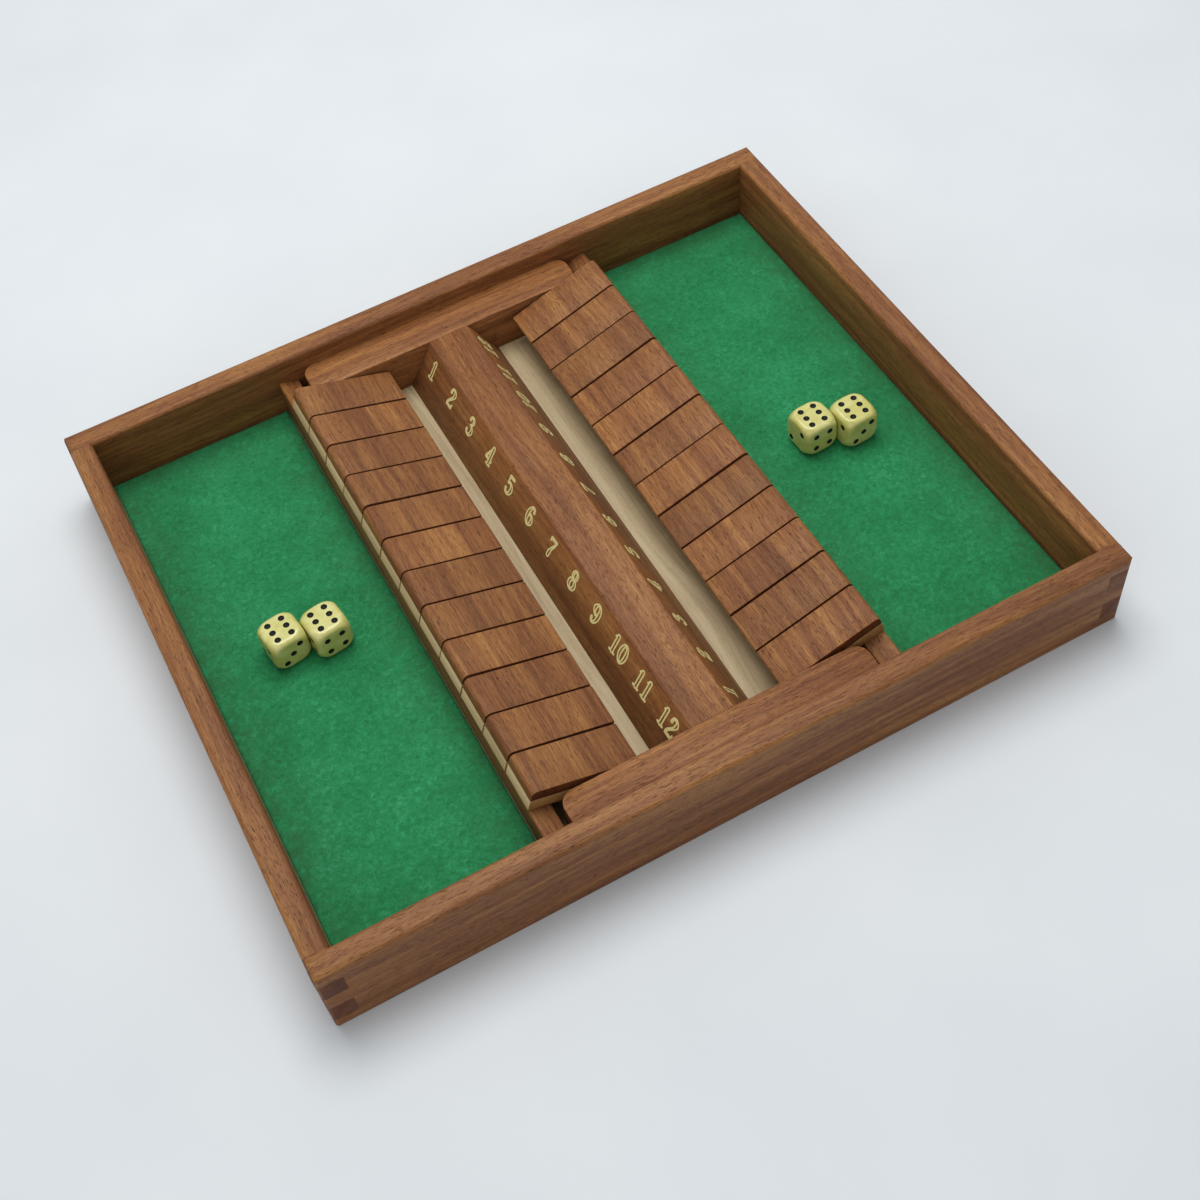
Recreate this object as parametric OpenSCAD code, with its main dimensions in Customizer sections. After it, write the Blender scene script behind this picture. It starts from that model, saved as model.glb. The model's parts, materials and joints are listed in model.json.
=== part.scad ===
// Shut the box game for two: a shallow wooden tray with a felt field at each end, a numbered ridge
// across the middle and a row of twelve turning tiles on each side of it, played with four dice.
// X runs from field to field, Y along the ridge, Z up. The origin is the middle of the underside.

/* [Tray] */
// Length of the tray, across both fields
tray_l = 340; // [320:1:380]
// Width of the tray, along the ridge
tray_w = 284; // [260:1:310]
// Height of the walls
wall_h = 40; // [38:0.5:50]
// Thickness of the walls
wall_t = 10; // [9:0.5:13]
// Radius of the eased rims and corners
rim_r = 2; // [1:0.25:3]
// Radius of the eased bottom edges
sole_r = 0.8; // [0.4:0.1:1.5]
// Height of one finger of the end walls in the corner joints
finger_h = 10; // [8:0.5:11]
// Distance of the outer fingers from the rim and from the bottom edge
finger_margin = 6; // [5:0.5:8]

/* [Floor] */
// Height of the underside of the base board above the table
base_z = 6; // [4:0.5:8]
// Thickness of the base board
base_t = 4; // [3:0.5:5]
// Depth of the groove that holds the base board
groove_d = 4; // [3:0.5:6]
// Thickness of the felt
felt_t = 1.5; // [1:0.1:2]
// Gap round the edge of the felt
felt_gap = 0.3; // [0.2:0.1:1]

/* [Ridge and end blocks] */
// Height of the ridge and the end blocks above the base board
ridge_h = 21; // [19.5:0.5:24]
// Width of the ridge at its top
ridge_top_w = 18.6; // [15:0.2:22]
// Width of the ridge at its foot
ridge_foot_w = 44; // [36:0.5:48]
// Radius of the eased top edges of the ridge
ridge_r = 1.2; // [0.6:0.1:2]
// Depth of an end block, along the ridge
block_d = 16; // [12:0.5:20]
// Gap between an end block and the rail beside it
block_gap = 2.5; // [1:0.25:6]
// Corner radius of an end block, seen from above
block_r = 6; // [3:0.5:9]

/* [Rails] */
// Distance between the outer faces of the two rails
rail_span = 153; // [150:0.5:160]
// Width of a rail
rail_t = 9; // [7:0.5:10]
// Height of the outer edge of a rail above the base board
rail_h = 18.5; // [17:0.5:20]
// Radius of the eased outer edge of a rail
rail_r = 1; // [0.5:0.1:1.6]

/* [Tiles] */
// Length of a tile
tile_l = 45; // [42:0.5:47]
// Thickness of each of the two plies of a tile
ply_t = 5.5; // [4.5:0.1:6]
// Slope of a tile that lies on its rail, in degrees
tile_tilt = 18; // [15:0.5:21]
// How far the tip of a lying tile stands out past its rail
tile_overhang = 0.3; // [0:0.1:1]
// Gap between neighbouring tiles
tile_gap = 0.6; // [0.3:0.05:0.8]
// Gap between the last tile and the end block
end_gap = 1; // [0.6:0.1:2]
// Radius of the rounded upper edge at the tip
nose_r = 5; // [2:0.25:5.25]
// Radius of the other eased edges across a tile
tile_edge_r = 0.8; // [0.4:0.1:1.2]
// Gap between a tile and what it comes to rest on
rest_gap = 0.3; // [0.2:0.05:0.5]

/* [Rods] */
// Diameter of a rod
rod_d = 3; // [2.5:0.1:4]
// Distance of a rod from the inner end of its tiles
rod_inset = 9; // [8:0.25:11]
// Depth of the hole in an end block
rod_seat = 8; // [5:0.5:10]
// Gap all round between a rod and the hole in a tile
rod_play = 0.08; // [0.04:0.01:0.1]
// Gap all round between a rod and its hole in an end block
seat_play = 0.02; // [0.01:0.01:0.05]

/* [Dice] */
// Edge of a die
die_s = 16; // [14:0.5:18]
// Radius of the rounded edges of a die
die_edge_r = 2.2; // [1.5:0.1:3]
// Distance from the middle of a die to its rounded corners
die_corner_r = 11.2; // [10.8:0.1:12]
// Width of a pip
pip_d = 2.7; // [2:0.1:3.2]
// Depth of a pip
pip_depth = 0.7; // [0.4:0.1:1]
// Distance from the middle pip of a row of three to its neighbours
pip_pitch = 4.2; // [3.8:0.1:4.5]
// Gap under a die
die_gap = 0.1; // [0.05:0.05:0.3]

/* [Hidden] */
tile_count = 12;
$fn = 24;

SAPELE = "#8b5e45";
MAPLE = "#d8be92";
FELT = "#2f7a4b";
STEEL = "#b8bcc0";
IVORY = "#d8d080";

inner_l = tray_l - 2 * wall_t;      // inside of the tray, across the fields
inner_w = tray_w - 2 * wall_t;      // inside of the tray, along the ridge
floor_z = base_z + base_t;          // top of the base board
row_l = inner_w - 2 * block_d;      // clear length between the end blocks
block_l = rail_span - 2 * rail_t - 2 * block_gap;
field_x = (rail_span + inner_l) / 4; // middle of a field
tile_w = (row_l - 2 * end_gap - (tile_count - 1) * tile_gap) / tile_count;
tile_pitch = tile_w + tile_gap;

// A lying tile: its underside is parallel to the bevel of the rail, one rest gap above it.
along = [cos(tile_tilt), sin(tile_tilt)];
upward = [-sin(tile_tilt), cos(tile_tilt)];
rail_edge = [rail_span / 2, floor_z + rail_h];
tile_tip = rail_edge + tile_overhang * along + rest_gap * upward;
rod_at = tile_tip - (tile_l - rod_inset) * along + ply_t * upward;

// A turned tile: its dark face comes to rest on the top edge of the ridge.
ridge_edge = [ridge_top_w / 2, floor_z + ridge_h];
to_ridge = [rod_at.x - ridge_edge.x, ridge_edge.y - rod_at.y];
turned_tilt = atan2(to_ridge.y, to_ridge.x) + asin((ply_t + rest_gap) / norm(to_ridge));
echo(rod_x = rod_at.x, rod_z = rod_at.y, tile_width = tile_w, tile_turn = 180 - tile_tilt - turned_tilt);

// The dice of each field: place from the middle of the field, turn about Z, and the numbers on the
// front and the left face. Every die shows its six on top.
LEFT_DICE = [[-7, 8.8, 8, 3, 2], [10, 4.9, 8, 4, 5]];
RIGHT_DICE = [[-6.4, -8, 3, 4, 2], [10.4, -13.3, 3, 3, 2]];
PIPS = [
    [],
    [[0, 0]],
    [[-0.9, 0.9], [0.9, -0.9]],
    [[-0.9, -0.9], [0, 0], [0.9, 0.9]],
    [[-0.8, -0.8], [-0.8, 0.8], [0.8, -0.8], [0.8, 0.8]],
    [[-0.85, -0.85], [-0.85, 0.85], [0, 0], [0.85, -0.85], [0.85, 0.85]],
    [for (x = [-0.75, 0.75], y = [-1, 0, 1]) [x, y]]
];

// ---- shapes that are used again ----

// What a rounding takes off a square corner at the origin, with the solid in the +X +Y quadrant
module corner_cut(r) {
    difference() {
        translate([-1, -1]) square(r + 1);
        translate([r, r]) circle(r, $fn = r < 1 ? 16 : $fn);
    }
}

// A rectangle centred on X and standing on Y = 0, with one radius at the top and one at the bottom
module eased_rectangle(w, h, top_r, bottom_r) {
    difference() {
        translate([-w / 2, 0]) square([w, h]);
        for (side = [0, 1]) mirror([side, 0]) {
            translate([-w / 2, 0]) corner_cut(bottom_r);
            translate([-w / 2, h]) mirror([0, 1]) corner_cut(top_r);
        }
    }
}

// A section drawn in X and Z, drawn out along Y
module along_y(length) {
    translate([0, length / 2, 0]) rotate([90, 0, 0]) linear_extrude(length) children();
}

// A section drawn in Y and Z, drawn out along X
module along_x(length) {
    rotate([0, 0, 90]) along_y(length) children();
}

// Points of the polygon with each corner replaced by an arc of its own radius
function eased(points, radii, steps = 5) = [
    for (i = [0 : len(points) - 1])
        let (
            here = points[i],
            before = points[(i + len(points) - 1) % len(points)],
            after = points[(i + 1) % len(points)],
            back = (before - here) / norm(before - here),
            on = (after - here) / norm(after - here),
            half = acos(back * on) / 2,
            middle = here + (back + on) / norm(back + on) * radii[i] / sin(half),
            sweep = 180 - 2 * half,
            from = here + back * radii[i] / tan(half) - middle,
            turn = back.x * on.y - back.y * on.x > 0 ? -1 : 1
        )
        for (k = [0 : radii[i] > 0 ? steps : 0])
            let (a = turn * sweep * k / steps)
            middle + [from.x * cos(a) - from.y * sin(a), from.x * sin(a) + from.y * cos(a)]
];

// ---- tray ----

// The whole tray as one block with every outer edge eased
module tray_outline() {
    intersection() {
        along_y(tray_w + 2) eased_rectangle(tray_l, wall_h, rim_r, sole_r);
        along_x(tray_l + 2) eased_rectangle(tray_w, wall_h, rim_r, sole_r);
        translate([0, -tray_w / 2, 0]) linear_extrude(wall_h + 1)
            eased_rectangle(tray_l, tray_w, rim_r, rim_r);
    }
}

// Section of the inside of the tray, flared where the inner rim is rounded
module inside_section(width) {
    translate([-width / 2, 0]) square([width, wall_h + 1]);
    for (side = [0, 1]) mirror([side, 0]) difference() {
        translate([width / 2, wall_h - rim_r]) square([rim_r, rim_r + 1]);
        translate([width / 2 + rim_r, wall_h - rim_r]) circle(rim_r);
    }
}

module tray_inside() {
    intersection() {
        along_y(tray_w + 2) inside_section(inner_l);
        along_x(tray_l + 2) inside_section(inner_w);
    }
}

// The base board's own block, which is also its groove in the walls
module base_block() {
    translate([-inner_l / 2 - groove_d, -inner_w / 2 - groove_d, base_z])
        cube([inner_l + 2 * groove_d, inner_w + 2 * groove_d, base_t]);
}

// The fingers of the end walls at the four corners
module end_fingers() {
    for (x = [-tray_l / 2, tray_l / 2 - wall_t], y = [-tray_w / 2, tray_w / 2 - wall_t])
        for (z = [finger_margin, wall_h - finger_margin - finger_h])
            translate([x, y, z]) cube([wall_t, wall_t, finger_h]);
}

module long_wall() {
    color(SAPELE) difference() {
        intersection() {
            tray_outline();
            translate([-tray_l / 2, -tray_w / 2, 0]) cube([tray_l, wall_t, wall_h]);
        }
        tray_inside();
        end_fingers();
        base_block();
    }
}

module end_wall() {
    color(SAPELE) difference() {
        intersection() {
            tray_outline();
            union() {
                translate([inner_l / 2, -inner_w / 2, 0]) cube([wall_t, inner_w, wall_h]);
                intersection() {
                    end_fingers();
                    translate([0, -tray_w / 2, 0]) cube([tray_l, tray_w, wall_h]);
                }
            }
        }
        tray_inside();
        base_block();
    }
}

module front_wall() long_wall();
module back_wall() rotate([0, 0, 180]) long_wall();
module right_wall() end_wall();
module left_wall() rotate([0, 0, 180]) end_wall();

module base_board() {
    color(MAPLE) base_block();
}

module right_felt() {
    felt_l = (inner_l - rail_span) / 2 - 2 * felt_gap;
    color(FELT) translate([rail_span / 2 + felt_gap, -inner_w / 2 + felt_gap, floor_z])
        cube([felt_l, inner_w - 2 * felt_gap, felt_t]);
}

module left_felt() rotate([0, 0, 180]) right_felt();

// ---- ridge, end blocks and rails ----

module number_ridge() {
    section = eased([
        [-ridge_foot_w / 2, 0], [ridge_foot_w / 2, 0],
        [ridge_top_w / 2, ridge_h], [-ridge_top_w / 2, ridge_h]
    ], [0, 0, ridge_r, ridge_r]);
    color(SAPELE) translate([0, 0, floor_z]) along_y(row_l) polygon(section);
}

module back_end_block() {
    color(SAPELE) difference() {
        translate([0, row_l / 2, floor_z]) linear_extrude(ridge_h) difference() {
            translate([-block_l / 2, 0]) square([block_l, block_d]);
            for (side = [0, 1]) mirror([side, 0]) translate([-block_l / 2, 0]) corner_cut(block_r);
        }
        for (side = [-1, 1])
            translate([side * rod_at.x, row_l / 2 + rod_seat, rod_at.y]) rotate([90, 0, 0])
                cylinder(r = rod_d / 2 + seat_play, h = rod_seat + 1);
    }
}

module front_end_block() rotate([0, 0, 180]) back_end_block();

module right_rail() {
    inner_h = rail_h - rail_t * tan(tile_tilt);
    section = eased([
        [rail_span / 2 - rail_t, 0], [rail_span / 2, 0],
        [rail_span / 2, rail_h], [rail_span / 2 - rail_t, inner_h]
    ], [0, 0, rail_r, 0]);
    color(SAPELE) translate([0, 0, floor_z]) along_y(inner_w) polygon(section);
}

module left_rail() rotate([0, 0, 180]) right_rail();

// ---- rods and tiles ----

module right_rod() {
    color(STEEL) translate([rod_at.x, 0, rod_at.y]) rotate([90, 0, 0])
        cylinder(d = rod_d, h = row_l + 2 * rod_seat, center = true);
}

module left_rod() rotate([0, 0, 180]) right_rod();

// Section of one ply, lying on Y = 0 with its inner end at X = 0
module ply_section(tip_r, inner_r) {
    difference() {
        square([tile_l, ply_t]);
        translate([0, ply_t]) mirror([0, 1]) corner_cut(inner_r);
        translate([tile_l, ply_t]) rotate(180) corner_cut(tip_r);
    }
}

// Both plies of a tile, drawn about the rod: the dark one above, the pale one below
module tile() {
    color(SAPELE) along_y(tile_w) difference() {
        translate([-rod_inset, 0]) ply_section(nose_r, tile_edge_r);
        circle(rod_d / 2 + rod_play);
    }
    color(MAPLE) along_y(tile_w) difference() {
        translate([-rod_inset, 0]) mirror([0, 1]) ply_section(tile_edge_r, tile_edge_r);
        circle(rod_d / 2 + rod_play);
    }
}

// The tiles on the right are numbered from the front, those on the left from the back
module right_tile(number) {
    y = (number - (tile_count + 1) / 2) * tile_pitch;
    translate([rod_at.x, y, rod_at.y]) rotate([0, -tile_tilt, 0]) tile();
}

module left_tile(number) rotate([0, 0, 180]) right_tile(number);

// ---- dice ----

// The pips of one number, sunk into the face at Z = die_s / 2
module pips(number) {
    ball_r = (pip_depth * pip_depth + pip_d * pip_d / 4) / (2 * pip_depth);
    for (p = PIPS[number])
        translate([p.x * pip_pitch, p.y * pip_pitch, die_s / 2 - pip_depth + ball_r])
            sphere(ball_r, $fn = 14);
}

module rounded_square(s, r) {
    translate([0, -s / 2]) eased_rectangle(s, s, r, r);
}

module die(front, left) {
    color(IVORY) difference() {
        intersection() {
            for (turn = [[0, 0, 0], [90, 0, 0], [0, 90, 0]]) rotate(turn)
                linear_extrude(die_s, center = true) rounded_square(die_s, die_edge_r, $fn = 16);
            sphere(die_corner_r);
        }
        pips(6);
        rotate([180, 0, 0]) pips(1);
        rotate([90, 0, 0]) pips(front);
        rotate([-90, 0, 0]) pips(7 - front);
        rotate([0, -90, 0]) pips(left);
        rotate([0, 90, 0]) pips(7 - left);
    }
}

module placed_die(middle_x, d) {
    translate([middle_x + d[0], d[1], floor_z + felt_t + die_gap + die_s / 2]) rotate([0, 0, d[2]])
        die(d[3], d[4]);
}

module left_die(number) placed_die(-field_x, LEFT_DICE[number - 1]);
module right_die(number) placed_die(field_x, RIGHT_DICE[number - 1]);

// ---- nodes ----

base_board();
left_felt();
right_felt();
front_wall();
back_wall();
left_wall();
right_wall();
number_ridge();
front_end_block();
back_end_block();
left_rail();
right_rail();
left_rod();
right_rod();
left_tile(1);  // left_tile_1
left_tile(2);  // left_tile_2
left_tile(3);  // left_tile_3
left_tile(4);  // left_tile_4
left_tile(5);  // left_tile_5
left_tile(6);  // left_tile_6
left_tile(7);  // left_tile_7
left_tile(8);  // left_tile_8
left_tile(9);  // left_tile_9
left_tile(10);  // left_tile_10
left_tile(11);  // left_tile_11
left_tile(12);  // left_tile_12
right_tile(1);  // right_tile_1
right_tile(2);  // right_tile_2
right_tile(3);  // right_tile_3
right_tile(4);  // right_tile_4
right_tile(5);  // right_tile_5
right_tile(6);  // right_tile_6
right_tile(7);  // right_tile_7
right_tile(8);  // right_tile_8
right_tile(9);  // right_tile_9
right_tile(10);  // right_tile_10
right_tile(11);  // right_tile_11
right_tile(12);  // right_tile_12
left_die(1);  // left_die_1
left_die(2);  // left_die_2
right_die(1);  // right_die_1
right_die(2);  // right_die_2
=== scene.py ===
import json
import math

import bmesh
import bpy
import numpy as np
from mathutils import Matrix, Vector


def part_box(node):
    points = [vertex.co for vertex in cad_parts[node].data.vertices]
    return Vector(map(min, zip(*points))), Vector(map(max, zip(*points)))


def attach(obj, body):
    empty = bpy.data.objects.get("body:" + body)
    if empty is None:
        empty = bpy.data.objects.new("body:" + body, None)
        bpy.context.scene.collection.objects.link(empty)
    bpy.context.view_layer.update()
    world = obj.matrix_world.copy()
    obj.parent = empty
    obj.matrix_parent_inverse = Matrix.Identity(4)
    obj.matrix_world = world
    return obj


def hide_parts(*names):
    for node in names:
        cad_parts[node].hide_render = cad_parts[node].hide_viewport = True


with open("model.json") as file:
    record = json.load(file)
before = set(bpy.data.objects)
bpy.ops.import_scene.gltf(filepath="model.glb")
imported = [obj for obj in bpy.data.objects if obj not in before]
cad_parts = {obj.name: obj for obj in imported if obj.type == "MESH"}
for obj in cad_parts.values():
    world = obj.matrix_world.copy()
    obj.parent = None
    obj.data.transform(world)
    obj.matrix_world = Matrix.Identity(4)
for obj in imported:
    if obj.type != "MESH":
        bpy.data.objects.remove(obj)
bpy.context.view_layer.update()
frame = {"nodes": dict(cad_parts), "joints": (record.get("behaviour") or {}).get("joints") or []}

MM = 0.001
scene = bpy.context.scene
nodes = frame["nodes"]

# ---- camera, from the front left and above, as the game is pictured ----

camera = bpy.data.objects.new("camera", bpy.data.cameras.new("camera"))
scene.collection.objects.link(camera)
scene.camera = camera
camera.data.sensor_width = 36
camera.data.lens = 50
camera.data.clip_start = 0.01
camera.location = (-0.150, -0.400, 0.560)
camera.rotation_mode = "QUATERNION"
camera.rotation_quaternion = (0.92048, 0.30377, -0.03604, -0.24321)


# ---- materials, with patterns in millimetres that a piece's own offset shifts ----

def colour(code):
    """Linear RGBA of a #rrggbb colour."""
    parts = [int(code[i:i + 2], 16) / 255 for i in (1, 3, 5)]
    return [c / 12.92 if c <= 0.04045 else ((c + 0.055) / 1.055) ** 2.4 for c in parts] + [1.0]


class Finish:
    """A Principled material and short calls for the nodes that feed it."""

    def __init__(self, name):
        self.material = bpy.data.materials.new(name)
        self.material.use_nodes = True
        self.tree = self.material.node_tree
        self.tree.nodes.clear()
        self.shader = self.add("BsdfPrincipled")
        self.output = self.add("OutputMaterial", {"Surface": self.shader.outputs[0]})

    def add(self, kind, inputs=None, **settings):
        node = self.tree.nodes.new("ShaderNode" + kind)
        for key, value in settings.items():
            setattr(node, key, value)
        for key, value in (inputs or {}).items():
            self.put(node.inputs[key], value)
        return node

    def put(self, socket, value):
        if isinstance(value, bpy.types.NodeSocket):
            self.tree.links.new(value, socket)
        else:
            socket.default_value = value

    def set(self, **inputs):
        for key, value in inputs.items():
            self.put(self.shader.inputs[key.replace("_", " ")], value)

    def math(self, operation, a, b=0.0):
        return self.add("Math", {0: a, 1: b}, operation=operation).outputs[0]

    def vector(self, operation, a, b):
        node = self.add("VectorMath", {0: a, 1: b}, operation=operation)
        return node.outputs["Value" if operation == "DOT_PRODUCT" else "Vector"]

    def total(self, *terms):
        """Sum of (value, weight) terms."""
        parts = [self.math("MULTIPLY", value, weight) for value, weight in terms]
        value = parts[0]
        for part in parts[1:]:
            value = self.math("ADD", value, part)
        return value

    def noise(self, at, scale, detail=2.0, roughness=0.5, distortion=0.0):
        """Noise whose scale is one number, or one for each axis."""
        scale = scale if isinstance(scale, tuple) else (scale, scale, scale)
        return self.add("TexNoise", {
            "Vector": self.vector("MULTIPLY", at, scale), "Scale": 1.0, "Detail": detail,
            "Roughness": roughness, "Distortion": distortion}).outputs["Fac"]

    def step(self, value, low, high, to_low=0.0, to_high=1.0):
        """A smooth step between two values, as the value goes from low to high."""
        node = self.add("MapRange", {
            "Value": value, "From Min": low, "From Max": high,
            "To Min": to_low, "To Max": to_high}, interpolation_type="SMOOTHSTEP")
        return node.outputs["Result"]

    def ramp(self, value, *stops):
        node = self.add("ValToRGB", {"Fac": value})
        elements = node.color_ramp.elements
        while len(elements) < len(stops):
            elements.new(0.5)
        for element, (place, code) in zip(elements, stops):
            element.position = place
            element.color = colour(code)
        return node.outputs["Color"]

    def mix(self, factor, a, b, blend="MIX"):
        """Colour a changed to colour b, or blended with it, as far as the factor says."""
        node = self.add("Mix", {"Factor": factor, 6: a, 7: b}, data_type="RGBA", blend_type=blend)
        return node.outputs[2]

    def stained(self, body, factor, code):
        """The colour multiplied by a stain, as far as the factor says."""
        return self.mix(factor, body, self.mix(1.0, body, colour(code), "MULTIPLY"))

    def place(self):
        """Object coordinates in millimetres, shifted by the piece's own offset."""
        own = self.add("Attribute", attribute_name="offset").outputs["Vector"]
        here = self.vector("ADD", self.add("TexCoord").outputs["Object"], own)
        return self.vector("MULTIPLY", here, (1000, 1000, 1000))

    def tone(self):
        return self.add("Attribute", attribute_name="tone").outputs["Fac"]

    def toned(self, body):
        """The colour made lighter or darker by the piece's own tone, and on the ridge's faces by
        painted shade.
        """
        factor = self.math("ADD", self.tone(), 1.0)
        grey = self.add("CombineColor", {0: factor, 1: factor, 2: factor}).outputs[0]
        return self.mix(1.0, body, grey, "MULTIPLY")

    def along(self, axis, at):
        """The coordinates with the grain's direction first."""
        split = self.add("SeparateXYZ", {0: at}).outputs
        u, v, w = {"X": (0, 1, 2), "Y": (1, 0, 2)}[axis]
        return self.add("CombineXYZ", {0: split[u], 1: split[v], 2: split[w]}).outputs[0]

    def end_grain(self, axis):
        """1 where the surface cuts across the grain."""
        direction = {"X": (1, 0, 0), "Y": (0, 1, 0)}[axis]
        facing = self.vector("DOT_PRODUCT", self.add("TexCoord").outputs["Normal"], direction)
        return self.step(self.math("ABSOLUTE", facing), 0.55, 0.9)

    def wavy(self, at, amount):
        """Bends the grain a little, so that no line runs quite straight."""
        drift = self.add("TexNoise", {
            "Vector": self.vector("MULTIPLY", at, (0.009, 0.02, 0.02)),
            "Scale": 1.0, "Detail": 1.0}).outputs["Color"]
        drift = self.vector("SUBTRACT", drift, (0.5, 0.5, 0.5))
        return self.vector("ADD", at, self.vector("MULTIPLY", drift, (0, amount, amount)))

    def bump(self, height, distance):
        node = self.add("Bump", {"Height": height, "Distance": distance, "Strength": 1.0})
        self.set(Normal=node.outputs["Normal"])


def red_wood(name, axis):
    """Satin red-brown hardwood: ribbon figure, fine fibre and short dark pores along the grain."""
    f = Finish(name)
    at = f.wavy(f.along(axis, f.place()), 9)
    figure = f.noise(at, (0.006, 0.10, 0.10), 3, 0.6)
    ribbon = f.noise(at, (0.011, 0.42, 0.42), 2, 0.5)
    fibre = f.noise(at, (0.09, 3.2, 3.2), 2, 0.6)
    pores = f.step(f.noise(at, (0.32, 3.4, 3.4), 1, 0.5), 0.60, 0.70)
    body = f.ramp(f.total((figure, 0.55), (ribbon, 0.45)),
                  (0.30, "#714629"), (0.46, "#8e5e37"), (0.58, "#a47241"), (0.74, "#b7864c"))
    body = f.stained(body, f.step(fibre, 0.32, 0.68, 0.0, 0.7), "#c29d78")
    body = f.mix(f.math("MULTIPLY", pores, 0.7), body, colour("#43271a"))
    body = f.stained(f.toned(body), f.end_grain(axis), "#b9a3a0")
    satin = f.step(figure, 0.3, 0.7, 0.56, 0.46)
    f.set(Base_Color=body, Specular_IOR_Level=0.24)
    f.set(Roughness=f.math("ADD", f.math("MULTIPLY", pores, 0.2), satin))
    f.bump(f.math("SUBTRACT", f.math("MULTIPLY", fibre, 0.35), pores), 0.00006)
    return f.material


def pale_wood(name, axis, stops, contrast=1.0):
    """Pale close-grained wood with faint darker lines."""
    f = Finish(name)
    at = f.wavy(f.along(axis, f.place()), 14)
    figure = f.noise(at, (0.007, 0.16, 0.16), 3, 0.6)
    line = f.noise(at, (0.012, 1.1, 1.1), 2, 0.55)
    fleck = f.noise(at, (0.5, 4.5, 4.5), 1, 0.5)
    body = f.ramp(f.total((figure, 0.6), (line, 0.4)), *stops)
    body = f.stained(body, f.step(fleck, 0.58, 0.74, 0.0, 0.30 * contrast), "#c8ab84")
    body = f.stained(f.toned(body), f.end_grain(axis), "#d6bd9c")
    f.set(Base_Color=body, Specular_IOR_Level=0.35, Roughness=f.step(line, 0.3, 0.7, 0.6, 0.5))
    f.bump(f.total((line, 0.5), (fleck, 0.3)), 0.00004)
    return f.material


def felt_cloth():
    """Matted green felt: patches, tufts and hairs, and darker and greyer where its tone carries
    painted shade.
    """
    f = Finish("green_felt")
    at = f.place()
    patches = f.noise(at, 0.035, 4, 0.6)
    tufts = f.noise(at, 0.55, 4, 0.65, 0.8)
    hairs = f.noise(at, 2.2, 2, 0.6, 1.6)
    body = f.ramp(f.total((hairs, 0.25), (patches, 0.25), (tufts, 0.5)),
                  (0.34, "#1d6a3c"), (0.48, "#2a8450"), (0.57, "#349660"), (0.70, "#55b183"))
    # Painted shade: where the tone is high, the felt turns a darker grey-green.
    body = f.mix(f.tone(), body, f.mix(tufts, colour("#2b5c35"), colour("#3f7d4c")))
    f.set(Base_Color=body, Roughness=0.95, Specular_IOR_Level=0.12)
    f.set(Sheen_Weight=0.25, Sheen_Roughness=0.45, Sheen_Tint=colour("#7fd0a0"))
    f.bump(f.math("ADD", tufts, f.math("MULTIPLY", hairs, 0.7)), 0.0003)
    return f.material


def die_body():
    """Ivory yellow plastic with a faint swirl, which lets a little light in."""
    f = Finish("die_ivory")
    at = f.place()
    swirl = f.noise(at, 0.12, 3, 0.55, 1.2)
    body = f.ramp(swirl, (0.30, "#c4be62"), (0.50, "#d0ca76"), (0.70, "#dbd68f"))
    f.set(Base_Color=body, Roughness=0.26, Specular_IOR_Level=0.5)
    f.set(Subsurface_Weight=0.2, Subsurface_Radius=(1.0, 0.8, 0.35), Subsurface_Scale=0.0012)
    f.set(Coat_Weight=0.25, Coat_Roughness=0.12)
    f.bump(f.noise(at, 0.5), 0.00002)
    return f.material


def pip_paint():
    f = Finish("pip_black")
    patch = f.noise(f.place(), 1.5)
    f.set(Base_Color=f.ramp(patch, (0.3, "#070709"), (0.7, "#101013")), Specular_IOR_Level=0.2)
    f.set(Roughness=f.step(patch, 0.3, 0.7, 0.45, 0.6))
    return f.material


def gold_print():
    f = Finish("gold_print")
    grit = f.noise(f.place(), 2.4, 3, 0.6)
    body = f.ramp(grit, (0.30, "#d3c372"), (0.48, "#ebdd93"), (0.70, "#f6edb4"))
    f.set(Base_Color=body, Metallic=0.1, Roughness=f.step(grit, 0.3, 0.7, 0.5, 0.36))
    f.bump(grit, 0.00003)
    return f.material


def drawn_steel():
    """Drawn wire, with fine lines along the rod."""
    f = Finish("rod_steel")
    lines = f.noise(f.along("Y", f.place()), (0.02, 4.0, 4.0))
    f.set(Base_Color=f.ramp(lines, (0.3, "#6f7174"), (0.7, "#94979a")), Metallic=1.0)
    f.set(Roughness=f.step(lines, 0.3, 0.7, 0.45, 0.34))
    f.bump(lines, 0.00001)
    return f.material


RED_X = red_wood("red_wood_x", "X")
RED_Y = red_wood("red_wood_y", "Y")
MAPLE = pale_wood("pale_ply", "Y", ((0.32, "#c0a074"), (0.50, "#d3b88a"), (0.68, "#e0caa2")))
BOARD = pale_wood("plywood", "Y", ((0.30, "#a08a66"), (0.50, "#b7a37e"), (0.70, "#c8b692")), 1.4)
FELT = felt_cloth()
IVORY = die_body()
PIP = pip_paint()
GOLD = gold_print()
STEEL = drawn_steel()


# ---- making pieces ----

def new_piece(name, mesh, body, materials, offset, tone=0.0):
    """A piece of the object from a finished mesh, with its own grain offset in millimetres.

    The tone is one number for the piece, or one for each vertex.
    """
    piece = bpy.data.objects.new(name, mesh)
    scene.collection.objects.link(piece)
    for material in materials:
        mesh.materials.append(material)
    shift = mesh.attributes.new("offset", "FLOAT_VECTOR", "POINT")
    shift.data.foreach_set("vector", np.tile(np.array(offset, np.float32) * MM, len(mesh.vertices)))
    shade = mesh.attributes.new("tone", "FLOAT", "POINT")
    shade.data.foreach_set("value", np.full(len(mesh.vertices), tone, np.float32))
    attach(piece, body)
    return piece


def helper(name, data):
    """An object that only serves to make a mesh."""
    holder = bpy.data.objects.new(name, data)
    scene.collection.objects.link(holder)
    return holder


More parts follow.
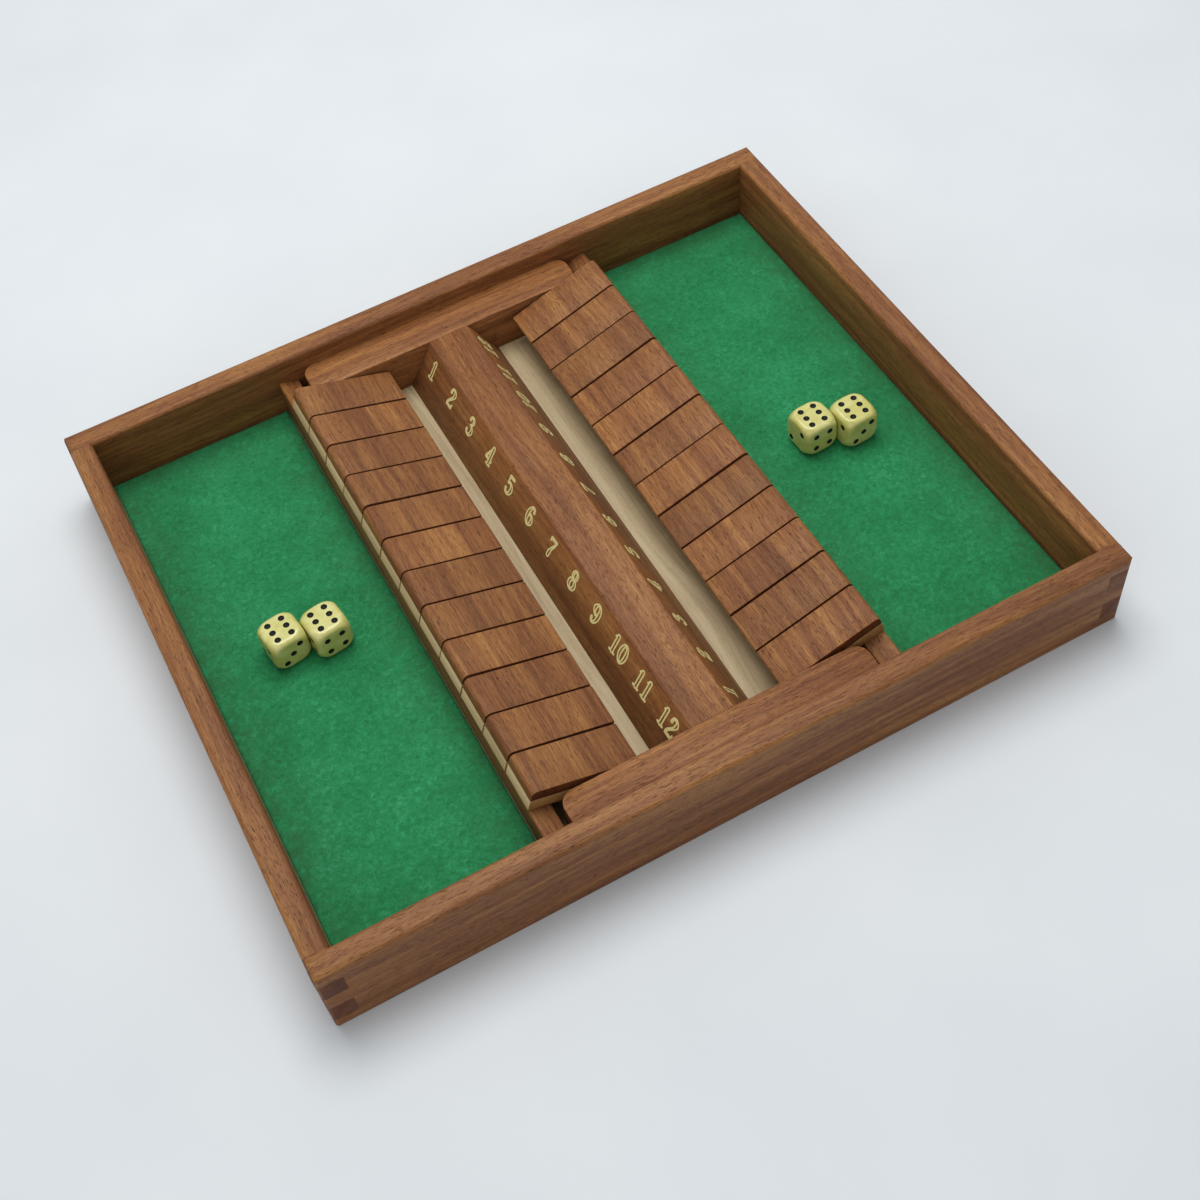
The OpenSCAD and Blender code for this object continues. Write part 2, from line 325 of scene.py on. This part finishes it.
def made(holder):
    """The mesh that a helper and its modifiers make. The helper is removed."""
    mesh = bpy.data.meshes.new_from_object(
        holder.evaluated_get(bpy.context.evaluated_depsgraph_get()))
    bpy.data.objects.remove(holder)
    return mesh


def smooth_by_angle(mesh, degrees):
    """Shades the mesh smooth, except across edges that turn by more than the angle."""
    bm = bmesh.new()
    bm.from_mesh(mesh)
    for face in bm.faces:
        face.smooth = True
    for edge in bm.edges:
        edge.smooth = len(edge.link_faces) == 2 and edge.calc_face_angle(0) < math.radians(degrees)
    bm.to_mesh(mesh)
    bm.free()


def cleaned(bm):
    """Joins doubled points, and triangles that lie in one plane."""
    bmesh.ops.remove_doubles(bm, verts=bm.verts, dist=1e-7)
    bmesh.ops.dissolve_limit(bm, angle_limit=math.radians(0.4), verts=bm.verts, edges=bm.edges)


def eased(name, bm, width):
    """The mesh with its sharp edges eased by a small two-step bevel."""
    cleaned(bm)
    sharp = bpy.data.meshes.new(name)
    bm.to_mesh(sharp)
    bm.free()
    holder = helper("holder", sharp)
    bevel = holder.modifiers.new("ease", "BEVEL")
    bevel.width = width * MM
    bevel.segments = 2
    bevel.limit_method = "ANGLE"
    bevel.angle_limit = math.radians(34)
    bevel.use_clamp_overlap = True
    mesh = made(holder)
    bpy.data.meshes.remove(sharp)
    smooth_by_angle(mesh, 40)
    mesh.name = name
    return mesh


# ---- walls, ridge, end blocks and rails: the CAD's shapes with eased edges ----

WOOD_EASE = 0.2      # width of the eased edges
BLOCK_END_R = 5.5    # rounding of an end block's upright edges at the wall
RIDGE_EDGE = 1.1     # the ridge's faces carry painted shade from this far below its top
RIDGE_PAINTED_SHADE = -0.24  # tone of the painted shade


def rounded_at_wall(bm, node, radius):
    """Rounds the upright edges of an end block that stand at the tray's wall."""
    cleaned(bm)
    low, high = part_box(node)
    wall_y = max(low.y, high.y, key=abs)
    upright = [e for e in bm.edges if all(abs(v.co.y - wall_y) < 1e-5 for v in e.verts)
               and abs(e.verts[0].co.z - e.verts[1].co.z) > 0.5 * (high.z - low.z)]
    bmesh.ops.bevel(bm, geom=upright, offset=radius * MM, segments=10, profile=0.5,
                    affect="EDGES")


def refined(node, material, offset, tone, wall_r=0.0):
    """A piece in the CAD solid's shape, with its edges eased."""
    bm = bmesh.new()
    bm.from_mesh(nodes[node].data)
    if wall_r:
        rounded_at_wall(bm, node, wall_r)
    mesh = eased(node + "_wood", bm, WOOD_EASE)
    mesh.materials.clear()
    piece = new_piece(node + "_wood", mesh, "tray", [material], offset, tone)
    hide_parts(node)
    return piece


refined("front_wall", RED_X, (310, 40, 15), -0.08)
refined("back_wall", RED_X, (-720, 90, -60), 0.02)
refined("left_wall", RED_Y, (45, 510, 70), -0.04)
refined("right_wall", RED_Y, (-85, -930, 22), 0.03)
ridge = refined("number_ridge", RED_Y, (150, 1210, 33), 0.02).data
refined("front_end_block", RED_X, (1330, 60, -21), 0.05, BLOCK_END_R)
refined("back_end_block", RED_X, (-1480, -75, 52), 0.13, BLOCK_END_R)
refined("left_rail", RED_Y, (260, -310, 5), -0.02)
refined("right_rail", RED_Y, (-290, 740, 11), -0.04)

# Painted shade: the ridge's slanted faces are made darker than its top, as shade falls on them.
for vertex, tone in zip(ridge.vertices, ridge.attributes["tone"].data):
    if vertex.co.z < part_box("number_ridge")[1].z - RIDGE_EDGE * MM:
        tone.value = RIDGE_PAINTED_SHADE

for node, material in (("base_board", BOARD), ("left_rod", STEEL), ("right_rod", STEEL)):
    nodes[node].data.materials.clear()
    nodes[node].data.materials.append(material)


# ---- felt: a napped sheet, with painted shade along its edges and rounded edges ----

FELT_GRID = 0.8                                  # size of a cell of the sheet's top
NAP = ((0.045, 1.3), (0.035, 2.9), (0.03, 9.0))  # height and size of its bumps, in layers
NAP_MIDDLE = 0.05                                # how far the middle of the nap lies below the top
ROUNDED, ROUND_DROP = 0.8, 0.6                   # width and depth of the rounded edge
SHADE_SPOTS = ((0.7, 2.6), (0.5, 9.0), (0.6, 1.2))    # strength and size of the spots of painted shade, in layers
SHADE_MEAN, SHADE_SPOTTED, SHADE_MOST = 0.62, 0.5, 0.8  # at the edge: even, in spots, at most
SHADE_REACH = 13                                 # distance from the edge over which it fades


def value_noise(x, y, size, seed):
    """Smooth random heights from -1 to 1, with bumps of about the size given."""
    cells = 256
    table = np.random.default_rng(seed).uniform(-1, 1, (cells, cells))
    u, v = x / size, y / size
    i, j = np.floor(u).astype(int), np.floor(v).astype(int)
    a, b = u - i, v - j
    a, b = a * a * (3 - 2 * a), b * b * (3 - 2 * b)
    i, j, right, up = i % cells, j % cells, (i + 1) % cells, (j + 1) % cells
    low = table[i, j] * (1 - a) + table[right, j] * a
    high = table[i, up] * (1 - a) + table[right, up] * a
    return low * (1 - b) + high * b


def layered(x, y, layers, seed):
    """Sum of value noises, each with its strength and size."""
    return sum(strength * value_noise(x, y, size, seed + k)
               for k, (strength, size) in enumerate(layers))


def felt_sheet(node, seed):
    low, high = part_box(node)
    step = FELT_GRID * MM
    nx, ny = round((high.x - low.x) / step), round((high.y - low.y) / step)
    x, y = np.meshgrid(np.linspace(low.x, high.x, nx + 1), np.linspace(low.y, high.y, ny + 1),
                       indexing="ij")
    xm, ym = x / MM, y / MM
    edge = np.minimum(np.minimum(x - low.x, high.x - x), np.minimum(y - low.y, high.y - y)) / MM
    drop = np.where(edge < ROUNDED, (1 - edge / ROUNDED) ** 2 * ROUND_DROP, 0)
    z = high.z + (layered(xm, ym, NAP, seed) - NAP_MIDDLE - drop) * MM
    # Painted shade: darker and greyer in spots near the sheet's edges, where the walls and rails
    # shade it.
    edge_shade = SHADE_MEAN + SHADE_SPOTTED * layered(xm, ym, SHADE_SPOTS, seed + len(NAP))
    edge_shade = np.clip(np.exp(-edge / SHADE_REACH) * edge_shade, 0, SHADE_MOST).ravel()

    def at(i, j):
        return i * (ny + 1) + j

    top = [tuple(p) for p in np.stack([x, y, z], -1).reshape(-1, 3)]
    faces = [(at(i, j), at(i + 1, j), at(i + 1, j + 1), at(i, j + 1))
             for i in range(nx) for j in range(ny)]
    rim = ([at(i, 0) for i in range(nx)] + [at(nx, j) for j in range(ny)]
           + [at(i, ny) for i in range(nx, 0, -1)] + [at(0, j) for j in range(ny, 0, -1)])
    foot, n = len(top), len(rim)
    faces += [(foot + k, foot + (k + 1) % n, rim[(k + 1) % n], rim[k]) for k in range(n)]
    faces.append([foot + k for k in range(n - 1, -1, -1)])
    mesh = bpy.data.meshes.new(node + "_cloth")
    mesh.from_pydata(top + [(top[k][0], top[k][1], low.z) for k in rim], [], faces)
    smooth_by_angle(mesh, 60)
    offset, tone = (seed * 37, seed * 11, 0), np.concatenate([edge_shade, np.zeros(n)])
    piece = new_piece(node + "_cloth", mesh, "tray", [FELT], offset, tone)
    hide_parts(node)


felt_sheet("left_felt", 5)
felt_sheet("right_felt", 9)


# ---- tiles: a dark ply glued on a pale one, both bored half each for the rod ----

TILE_L, PLY_T, ROD_INSET, HOLE_R, TILT = 45.0, 5.5, 9.0, 1.58, 18.0
NOSE_R, EDGE_R = 2.4, 0.8  # rounding of the dark ply's tip, and of the other corners
TILE_EASE = 0.4            # width of the eased side edges
SIDE_PLAY = 0.16           # how much narrower than its solid a tile is
LIE, SLIP = 0.38, 0.13     # how far off a tile may lie, in degrees, and off to the side
PLANED = 0.16              # half of how much thinner the dark ply may be
TONES = 0.12               # how much lighter or darker a ply may be


def arc(cx, cz, r, start, end, steps):
    angles = np.radians(np.linspace(start, end, steps + 1))
    return [(cx + r * math.cos(a), cz + r * math.sin(a)) for a in angles]


def ply_profile(tip_r, thickness):
    """Section of the upper ply about the rod, anticlockwise from the notch round the rod."""
    x0, x1, z1 = -ROD_INSET, TILE_L - ROD_INSET, thickness
    return (arc(0, 0, HOLE_R, 180, 0, 14) + [(x1, 0)]
            + arc(x1 - tip_r, z1 - tip_r, tip_r, 0, 90, max(5, round(tip_r * 3)))
            + arc(x0 + EDGE_R, z1 - EDGE_R, EDGE_R, 90, 180, 5) + [(x0, 0)])


def extruded(profile, width):
    bm = bmesh.new()
    front = [bm.verts.new((x * MM, -width / 2 * MM, z * MM)) for x, z in profile]
    back = [bm.verts.new((x * MM, width / 2 * MM, z * MM)) for x, z in profile]
    bm.faces.new(front)
    bm.faces.new(back[::-1])
    n = len(profile)
    for i in range(n):
        bm.faces.new((front[(i + 1) % n], front[i], back[i], back[(i + 1) % n]))
    bmesh.ops.recalc_face_normals(bm, faces=bm.faces)
    return bm


def ply_tone(k):
    """Tone of a ply, which differs as the boards do that they are cut from."""
    return float(np.random.default_rng(400 + k).uniform(-TONES, TONES))


width = (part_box("right_tile_1")[1].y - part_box("right_tile_1")[0].y) / MM - SIDE_PLAY
lower = [(x, -z) for x, z in ply_profile(EDGE_R, PLY_T)][::-1]
for k, joint in enumerate(j for j in frame["joints"] if j["type"] == "hinge"):
    tile = joint["child"]
    side = 0 if tile.startswith("right") else 180
    settle, slip, planed = np.random.default_rng(20 + k).uniform(-1, 1, 3)
    upper = ply_profile(NOSE_R, PLY_T - PLANED * (1 + planed))
    pose = (Matrix.Translation(Vector(joint["pos_m"]) + Vector((0, slip * SLIP * MM, 0)))
            @ Matrix.Rotation(math.radians(side), 4, "Z")
            @ Matrix.Rotation(math.radians(-TILT - settle * LIE), 4, "Y"))
    shift = np.random.default_rng(70 + k).uniform(-400, 400, 3)
    for ply, profile, material, tone in (("top", upper, RED_Y, ply_tone(k)),
                                         ("base", lower, MAPLE, ply_tone(k + 50) * 0.5)):
        mesh = eased(f"{tile}_{ply}", extruded(profile, width), TILE_EASE)
        mesh.transform(pose)
        piece = new_piece(f"{tile}_{ply}", mesh, tile, [material], shift, tone)
        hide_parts(tile)


# ---- dice: a cube with rounded edges and blunt corners, and drilled, painted pips ----

DIE, PIP_D, PIP_DEPTH, PIP_PITCH = 16.0, 2.7, 0.7, 4.2
CORNER_R = 11.25                     # distance of the blunt corners from the middle
EDGE_BLEND, CORNER_BLEND = 2.4, 0.8  # how wide the faces run into each other and the corners
PIPS = {
    1: [(0, 0)],
    2: [(-0.9, 0.9), (0.9, -0.9)],
    3: [(-0.9, -0.9), (0, 0), (0.9, 0.9)],
    4: [(-0.8, -0.8), (-0.8, 0.8), (0.8, -0.8), (0.8, 0.8)],
    5: [(-0.85, -0.85), (-0.85, 0.85), (0, 0), (0.85, -0.85), (0.85, 0.85)],
    6: [(x, y) for x in (-0.75, 0.75) for y in (-1, 0, 1)],
}


def blend_max(a, b, k):
    """The larger of two values, rounded off where they are nearly the same."""
    h = np.maximum(k - np.abs(a - b), 0)
    return np.maximum(a, b) + h * h / (4 * k)


def die_shape(n=44):
    """The blank, as a grid on each face of a cube, drawn in or out to the rounded surface."""
    line = np.tan(np.linspace(-math.pi / 4, math.pi / 4, n + 1))
    bm = bmesh.new()
    for axis in range(3):
        for sign in (-1, 1):
            a, b = np.meshgrid(line, line, indexing="ij")
            way = np.zeros((n + 1, n + 1, 3))
            way[..., axis] = sign
            way[..., (axis + 1) % 3] = a * sign
            way[..., (axis + 2) % 3] = b
            way /= np.linalg.norm(way, axis=-1, keepdims=True)
            # The surface lies between these distances from the middle. Halving closes in on it.
            near, far = np.full(a.shape, 5.0), np.full(a.shape, 15.0)
            for _ in range(40):
                middle = (near + far) / 2
                p = np.abs(way * middle[..., None])
                f = blend_max(blend_max(p[..., 0], p[..., 1], EDGE_BLEND), p[..., 2], EDGE_BLEND)
                f = blend_max(f - DIE / 2, middle - CORNER_R, CORNER_BLEND)
                near, far = np.where(f < 0, middle, near), np.where(f < 0, far, middle)
            at = way * near[..., None]
            grid = [[bm.verts.new(at[i, j] * MM) for j in range(n + 1)] for i in range(n + 1)]
            for i in range(n):
                for j in range(n):
                    bm.faces.new((grid[i][j], grid[i + 1][j], grid[i + 1][j + 1], grid[i][j + 1]))
    bmesh.ops.remove_doubles(bm, verts=bm.verts, dist=1e-6)
    bmesh.ops.recalc_face_normals(bm, faces=bm.faces)
    bmesh.ops.dissolve_limit(bm, angle_limit=math.radians(0.02), verts=bm.verts, edges=bm.edges)
    return bm


def pip_balls(front, left):
    """Balls that cut the pips, six on top; opposite faces add up to seven."""
    bm = bmesh.new()
    ball = (PIP_DEPTH ** 2 + PIP_D ** 2 / 4) / (2 * PIP_DEPTH)
    for number, turn, axis in ((6, 0, "X"), (1, math.pi, "X"),
                               (front, math.pi / 2, "X"), (7 - front, -math.pi / 2, "X"),
                               (left, -math.pi / 2, "Y"), (7 - left, math.pi / 2, "Y")):
        for x, y in PIPS[number]:
            centre = Vector((x * PIP_PITCH, y * PIP_PITCH, DIE / 2 - PIP_DEPTH + ball)) * MM
            at = Matrix.Rotation(turn, 4, axis) @ Matrix.Translation(centre)
            bmesh.ops.create_uvsphere(bm, u_segments=40, v_segments=28, radius=ball * MM, matrix=at)
    return bm


def die_piece(node, turn, front, left, seed):
    """A die, turned by some degrees, with the numbers given on its front and left faces."""
    blank = bpy.data.meshes.new(node + "_blank")
    die_shape().to_mesh(blank)
    blank.materials.append(IVORY)
    balls = bpy.data.meshes.new("pips")
    pip_balls(front, left).to_mesh(balls)
    balls.materials.append(PIP)
    body, cutter = helper("blank", blank), helper("pips", balls)
    cut = body.modifiers.new("cut", "BOOLEAN")
    cut.operation, cut.solver, cut.object = "DIFFERENCE", "EXACT", cutter
    cut.material_mode = "TRANSFER"
    mesh = made(body)
    bpy.data.objects.remove(cutter)
    smooth_by_angle(mesh, 24)
    low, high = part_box(node)
    mesh.transform(Matrix.Translation((low + high) / 2)
                   @ Matrix.Rotation(math.radians(turn), 4, "Z"))
    offset = (seed * 23, seed * 51, seed * 7)
    piece = new_piece(node + "_body", mesh, node, [], offset, 0)
    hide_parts(node)


die_piece("left_die_1", 8, 3, 2, 1)
die_piece("left_die_2", 8, 4, 5, 2)
die_piece("right_die_1", 3, 4, 2, 3)
die_piece("right_die_2", 3, 3, 2, 4)


# ---- numbers: outlined figures printed in gold on the ridge's slanted faces ----

def smooth_line(points, per=10):
    """A Catmull-Rom curve through (x, y, half width) points."""
    p = np.array([points[0]] + points + [points[-1]], float)
    out = []
    for i in range(1, len(p) - 2):
        for t in np.linspace(0, 1, per, endpoint=False):
            out.append(0.5 * (2 * p[i] + (p[i + 1] - p[i - 1]) * t
                              + (2 * p[i - 1] - 5 * p[i] + 4 * p[i + 1] - p[i + 2]) * t ** 2
                              + (3 * p[i] - p[i - 1] - 3 * p[i + 1] + p[i + 2]) * t ** 3))
    return out + [p[-2]]


def oval(cx, cy, rx, ry, thick, thin):
    """A closed bowl, thick at its sides and thin at top and bottom."""
    return [(cx + rx * math.cos(a), cy + ry * math.sin(a), thin + (thick - thin) * math.cos(a) ** 2)
            for a in np.linspace(0, 2 * math.pi, 49)]


def dot(x, y, r):
    return [(x, y, r)] * 2


# Strokes of the figures, as (x, y, half width) points of a figure 1 high. A nine is a six
# upside down.
THICK, THIN = 0.125, 0.074  # half widths
FIGURE_W = 0.62
CURVED = {
    "2": [[(.15, .74, .05), (.17, .86, THIN), (.31, .935, THIN), (.45, .87, .09),
           (.49, .74, THICK), (.42, .57, .09), (.26, .38, THIN), (.13, .20, THIN),
           (.11, .09, THIN)]],
    "3": [[(.15, .79, .05), (.18, .88, THIN), (.31, .94, THIN), (.43, .86, .09),
           (.45, .75, .10), (.40, .62, .07), (.27, .55, .05)],
          [(.27, .55, .05), (.42, .50, .07), (.50, .38, .10), (.50, .25, THICK),
           (.42, .11, .085), (.29, .06, THIN), (.16, .11, THIN), (.13, .20, .05)]],
    "5": [[(.14, .52, .05), (.28, .60, THIN), (.43, .55, .085), (.51, .40, THICK),
           (.50, .24, THICK), (.41, .10, .085), (.28, .06, THIN), (.16, .11, THIN),
           (.13, .20, .05)]],
    "6": [[(.47, .80, .05), (.44, .89, THIN), (.33, .94, THIN), (.20, .84, .09),
           (.12, .62, THICK), (.11, .36, THICK), (.17, .15, .09), (.30, .06, THIN),
           (.43, .12, .085), (.50, .28, THICK), (.45, .46, .085), (.33, .54, THIN),
           (.22, .51, THIN), (.15, .42, .05)]],
    "7": [[(.50, .86, .06), (.44, .66, .07), (.33, .44, .09), (.28, .24, THICK),
           (.27, .08, THICK)]],
}
STRAIGHT = {
    "0": [oval(.31, .5, .20, .435, THICK, THIN)],
    "1": [[(.31, .10, THICK), (.31, .88, THICK)], [(.31, .91, .06), (.17, .80, .055)],
          [(.13, .06, .06), (.49, .06, .06)]],
    "2": [dot(.15, .72, .095), [(.11, .08, .075), (.48, .08, .085)],
          [(.50, .10, .06), (.53, .24, .05)]],
    "3": [dot(.15, .77, .09), dot(.13, .22, .095)],
    "4": [[(.40, .93, .07), (.08, .33, THIN)], [(.08, .30, THIN), (.56, .30, THIN)],
          [(.41, .93, THICK), (.41, .10, THICK)], [(.26, .06, .06), (.55, .06, .06)]],
    "5": [[(.17, .88, .085), (.47, .89, .085)], [(.15, .90, .055), (.14, .53, .05)],
          dot(.13, .21, .095)],
    "6": [dot(.46, .79, .09)],
    "7": [[(.10, .87, .085), (.50, .89, .085)], [(.08, .90, .055), (.08, .74, .05)]],
    "8": [oval(.31, .735, .155, .20, .095, THIN), oval(.31, .29, .20, .23, THICK, THIN)],
}


def figure_field(character, x, y):
    """Distance outside the figure's outline, negative inside, over a grid."""
    if character == "9":
        return figure_field("6", FIGURE_W - x, 1.0 - y)
    lines = [smooth_line(s) for s in CURVED.get(character, [])] + STRAIGHT[character]
    field = np.full(x.shape, 9.0)
    for line in lines:
        for (x0, y0, r0), (x1, y1, r1) in zip(line, line[1:]):
            dx, dy = x1 - x0, y1 - y0
            t = np.clip(((x - x0) * dx + (y - y0) * dy) / max(dx * dx + dy * dy, 1e-9), 0, 1)
            away = np.hypot(x - x0 - t * dx, y - y0 - t * dy) - (r0 + t * (r1 - r0))
            field = np.minimum(field, away)
    return field


def contours(xs, ys, f):
    """Closed level lines f = 0 over a grid, as lists of points."""
    inside = f < 0
    links = {}

    def crossing(i, j, k):
        """Where the line crosses the grid's edge from i, j to the right (k = 0) or up (k = 1)."""
        a, b = (i, j), (i + 1, j) if k == 0 else (i, j + 1)
        t = f[a] / (f[a] - f[b])
        return (xs[a[0]] + t * (xs[b[0]] - xs[a[0]]), ys[a[1]] + t * (ys[b[1]] - ys[a[1]]))

    for i in range(len(xs) - 1):
        for j in range(len(ys) - 1):
            corners = (inside[i, j], inside[i + 1, j], inside[i + 1, j + 1], inside[i, j + 1])
            if all(corners) or not any(corners):
                continue
            sides = (((i, j, 0), 0, 1), ((i + 1, j, 1), 1, 2),
                     ((i, j + 1, 0), 3, 2), ((i, j, 1), 0, 3))
            edges = [edge for edge, p, q in sides if corners[p] != corners[q]]
            for a, b in [edges] if len(edges) == 2 else [edges[:2], edges[2:]]:
                links.setdefault(a, []).append(b)
                links.setdefault(b, []).append(a)
    loops, seen = [], set()
    for start in links:
        loop, here, last = [], start, None
        while here not in seen:
            seen.add(here)
            loop.append(crossing(*here))
            onward = [e for e in links[here] if e != last] or links[here]
            last, here = here, onward[0]
        if len(loop) > 8:
            loops.append(thinned(loop))
    return loops


def thinned(loop, limit=0.0012, longest=0.06):
    """The loop without the points that lie on the line between their neighbours."""
    kept = [loop[0]]
    for i in range(1, len(loop)):
        (ax, ay), (bx, by) = kept[-1], loop[(i + 1) % len(loop)]
        px, py = loop[i]
        length = math.hypot(bx - ax, by - ay) or 1
        off = abs((bx - ax) * (py - ay) - (by - ay) * (px - ax)) / length
        if off > limit or length > longest:
            kept.append(loop[i])
    return kept


def figure_loops(character, band=0.080):
    """The figure's outline, and a second one inside it at the printed line's width."""
    xs, ys = np.linspace(-0.06, 0.68, 96), np.linspace(-0.06, 1.06, 144)
    x, y = np.meshgrid(xs, ys, indexing="ij")
    f = figure_field(character, x, y)
    return contours(xs, ys, f) + contours(xs, ys, f + band)


FIGURES = {character: figure_loops(character) for character in "0123456789"}
FIGURE_H, FIGURE_STEP, PRINT_T = 9.5, 5.9, 0.05
RIDGE_TOP_HALF = 9.3  # half the width of the ridge's top
FIGURE_DOWN = 8.0     # from the ridge's upper edge down the slope to the middle of a figure
low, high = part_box("number_ridge")
ridge_low, ridge_high = low.z / MM, high.z / MM
foot_half = (high.x - low.x) / 2 / MM
slope = math.hypot(foot_half - RIDGE_TOP_HALF, ridge_high - ridge_low)
up_x, up_z = (foot_half - RIDGE_TOP_HALF) / slope, (ridge_high - ridge_low) / slope


def printed_number(side, number):
    """side is -1 for the left face and 1 for the right one."""
    row = "right" if side > 0 else "left"
    text = str(number)
    flat = bpy.data.curves.new("figure", "CURVE")
    flat.dimensions, flat.fill_mode, flat.extrude = "2D", "BOTH", PRINT_T * MM
    for place, character in enumerate(text):
        shift = (place - (len(text) - 1) / 2) * FIGURE_STEP - FIGURE_W / 2 * FIGURE_H
        for loop in FIGURES[character]:
            spline = flat.splines.new("POLY")
            spline.points.add(len(loop) - 1)
            spline.use_cyclic_u = True
            spline.points.foreach_set("co", [c for px, py in loop for c in (
                (shift + px * FIGURE_H) * MM, (py - 0.5) * FIGURE_H * MM, 0, 1)])
    mesh = made(helper("figure", flat))
    mesh.materials.clear()
    tile_low, tile_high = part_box(f"{row}_tile_{number}")
    across = Vector((0, side, 0))
    up = Vector((-side * up_x, 0, up_z))
    centre = Vector((side * RIDGE_TOP_HALF, 0, ridge_high)) - up * FIGURE_DOWN
    centre.y = (tile_low.y + tile_high.y) / 2 / MM
    pose = Matrix((across, up, across.cross(up))).transposed().to_4x4()
    pose.translation = centre * MM
    mesh.transform(pose)
    new_piece(f"{row}_number_{number}", mesh, "tray", [GOLD], (number * 31, 0, 0))


for number in range(1, 13):
    printed_number(-1, number)
    printed_number(1, number)


# ---- table and light ----

PALE = colour("#e6ebee")        # of the table as lit, which the backdrop repeats
TABLE = 40                      # half the table's width, in metres
FADE_FROM, FADE_TO = 450, 1500  # how far out the table turns into the backdrop


def showing(tree):
    """1 for a ray that shows the background: from the camera, off gloss or through glass."""
    path = tree.nodes.new("ShaderNodeLightPath").outputs
    value = path["Is Camera Ray"]
    for kind in ("Is Glossy Ray", "Is Transmission Ray"):
        either = tree.nodes.new("ShaderNodeMath")
        either.operation = "MAXIMUM"
        tree.links.new(value, either.inputs[0])
        tree.links.new(path[kind], either.inputs[1])
        value = either.outputs[0]
    return value


def ground():
    """A pale table top, which keeps its colour towards the horizon."""
    f = Finish("pale_table")
    at = f.vector("MULTIPLY", f.add("TexCoord").outputs["Object"], (1000, 1000, 1000))
    f.set(Base_Color=f.ramp(f.noise(at, 0.01, 3), (0.3, "#dfe4e6"), (0.7, "#e5e9eb")))
    f.set(Roughness=0.75, Specular_IOR_Level=0.3)
    away = f.add("VectorMath", {0: at}, operation="LENGTH").outputs["Value"]
    far = f.math("MULTIPLY", f.step(away, FADE_FROM, FADE_TO), showing(f.tree))
    glow = f.add("Emission", {"Color": PALE}).outputs[0]
    both = f.add("MixShader", {0: far, 1: f.shader.outputs[0], 2: glow}).outputs[0]
    f.put(f.output.inputs["Surface"], both)
    mesh = bpy.data.meshes.new("table")
    corners = [(x * TABLE, y * TABLE, 0) for x, y in ((-1, -1), (1, -1), (1, 1), (-1, 1))]
    mesh.from_pydata(corners, [], [(0, 1, 2, 3)])
    mesh.materials.append(f.material)
    table = bpy.data.objects.new("table", mesh)
    scene.collection.objects.link(table)


def studio():
    """Even light from all round, behind the same pale backdrop."""
    world = bpy.data.worlds.new("studio")
    world.use_nodes = True
    tree = world.node_tree
    light = tree.nodes["Background"]
    light.inputs["Color"].default_value = (0.93, 0.96, 1.0, 1)
    light.inputs["Strength"].default_value = 0.42
    backdrop = tree.nodes.new("ShaderNodeBackground")
    backdrop.inputs["Color"].default_value = PALE
    both = tree.nodes.new("ShaderNodeMixShader")
    tree.links.new(showing(tree), both.inputs[0])
    tree.links.new(light.outputs[0], both.inputs[1])
    tree.links.new(backdrop.outputs[0], both.inputs[2])
    tree.links.new(both.outputs[0], tree.nodes["World Output"].inputs["Surface"])
    scene.world = world


def lamp(name, at, size, power):
    """A round soft lamp that shines at the middle of the game."""
    data = bpy.data.lights.new(name, "AREA")
    data.shape, data.size, data.energy = "DISK", size, power
    light = bpy.data.objects.new(name, data)
    scene.collection.objects.link(light)
    light.location = at
    light.rotation_mode = "QUATERNION"
    light.rotation_quaternion = (-Vector(at)).to_track_quat("-Z", "Y")


ground()
lamp("softbox", (0.08, 0.32, 1.25), size=0.9, power=11.0)
lamp("fill", (-1.0, -0.95, 0.9), size=1.0, power=2.4)
studio()
scene.view_settings.view_transform = "Standard"
